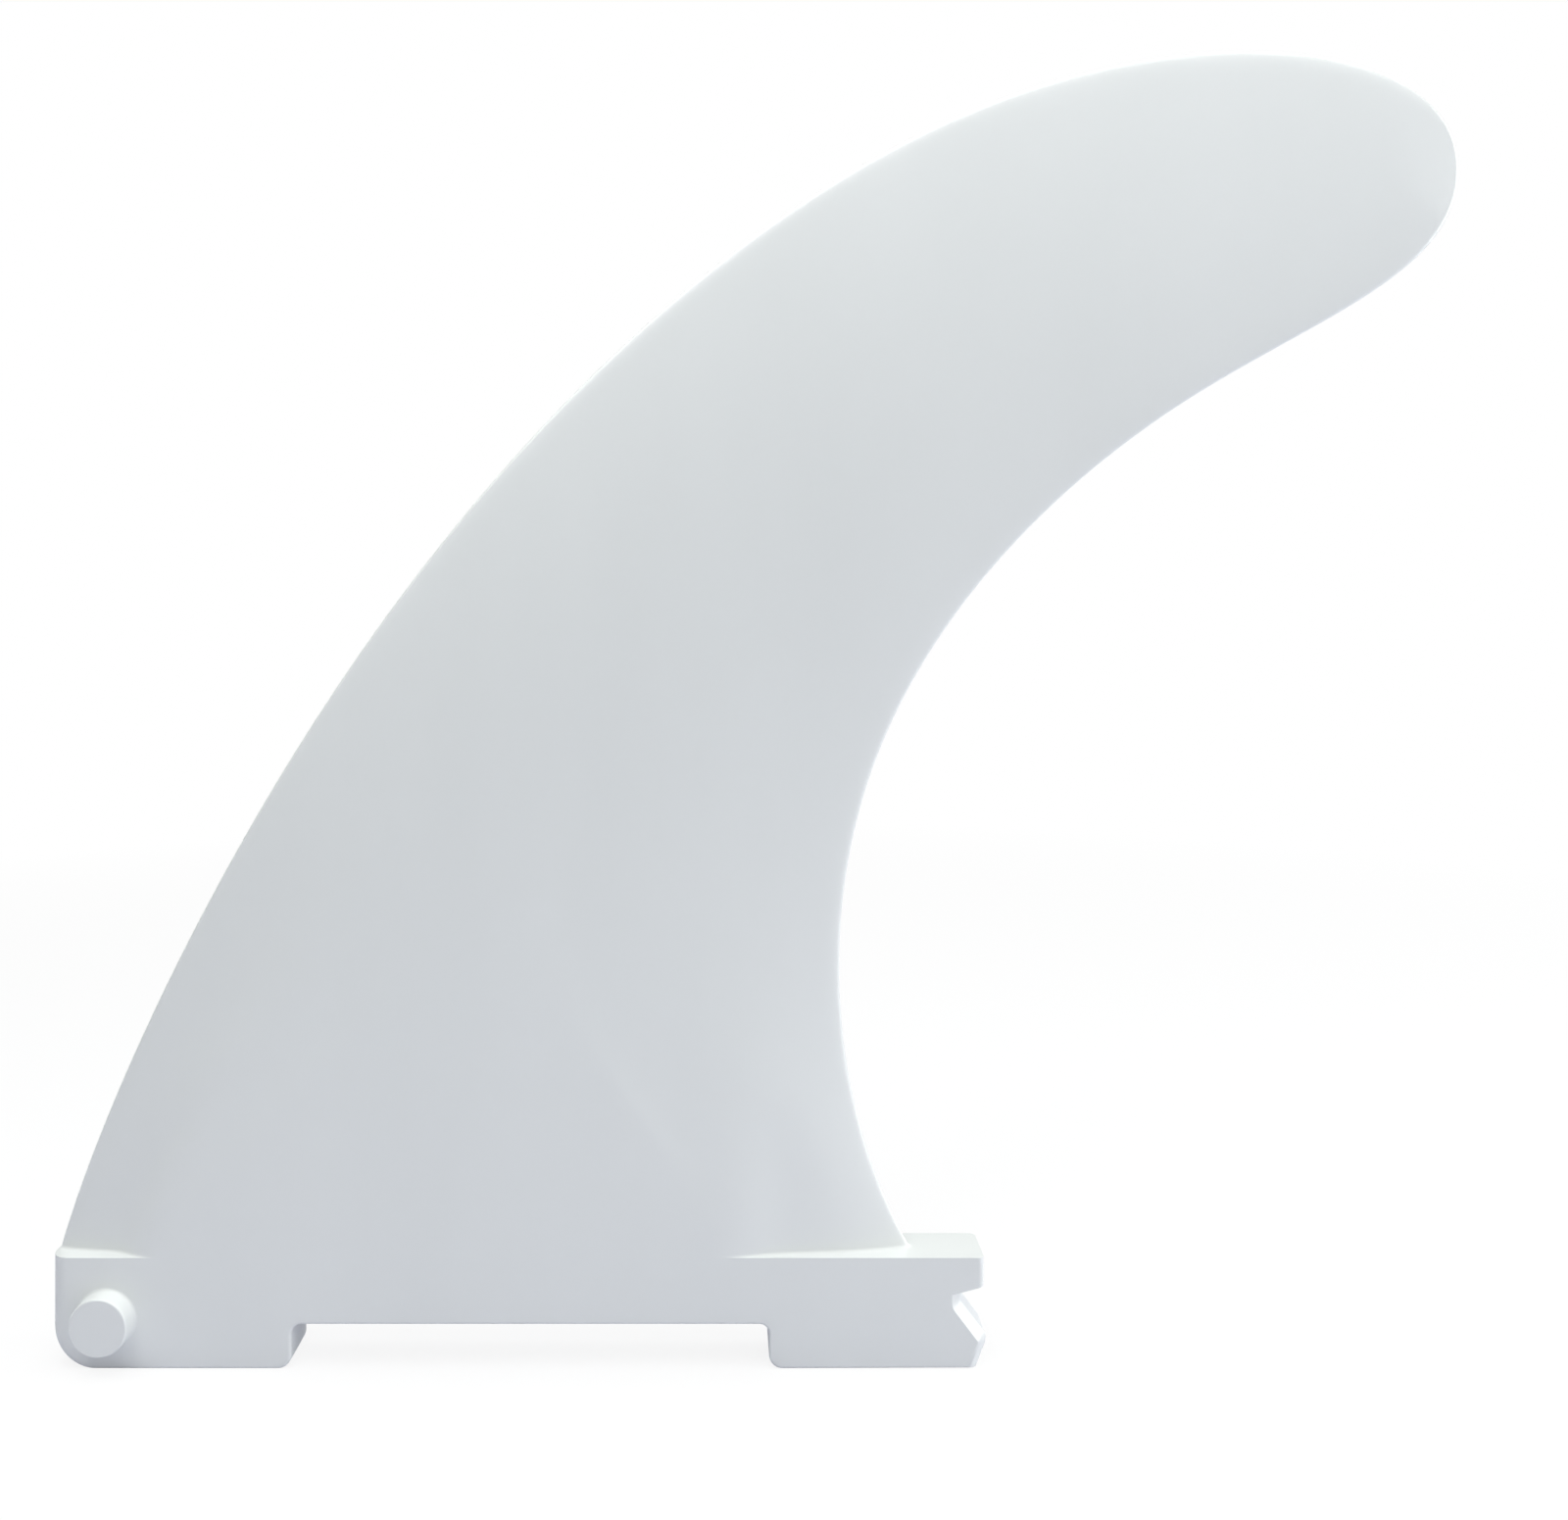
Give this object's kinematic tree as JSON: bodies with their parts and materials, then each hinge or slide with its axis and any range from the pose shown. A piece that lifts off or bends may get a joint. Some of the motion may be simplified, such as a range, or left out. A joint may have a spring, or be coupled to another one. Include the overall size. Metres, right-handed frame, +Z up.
{
  "type": "surfboard fin",
  "caption": "Raked, foiled centre fin for a surfboard, moulded in one piece with a slim base, cross pin and snap notch for a long slot fin box.",
  "frame": {"origin": "on the cross pin's axis, in the middle of the fin's thickness", "axes": "+X along the base towards the board's tail, +Y along the cross pin to the side, +Z up the blade, away from the board"},
  "size_m": [0.2382, 0.016, 0.2219],
  "materials": {
    "white_plastic": "satin white moulded plastic, slightly milky"
  },
  "bodies": {
    "root": {"fin": "white_plastic"}
  },
  "joints": []
}
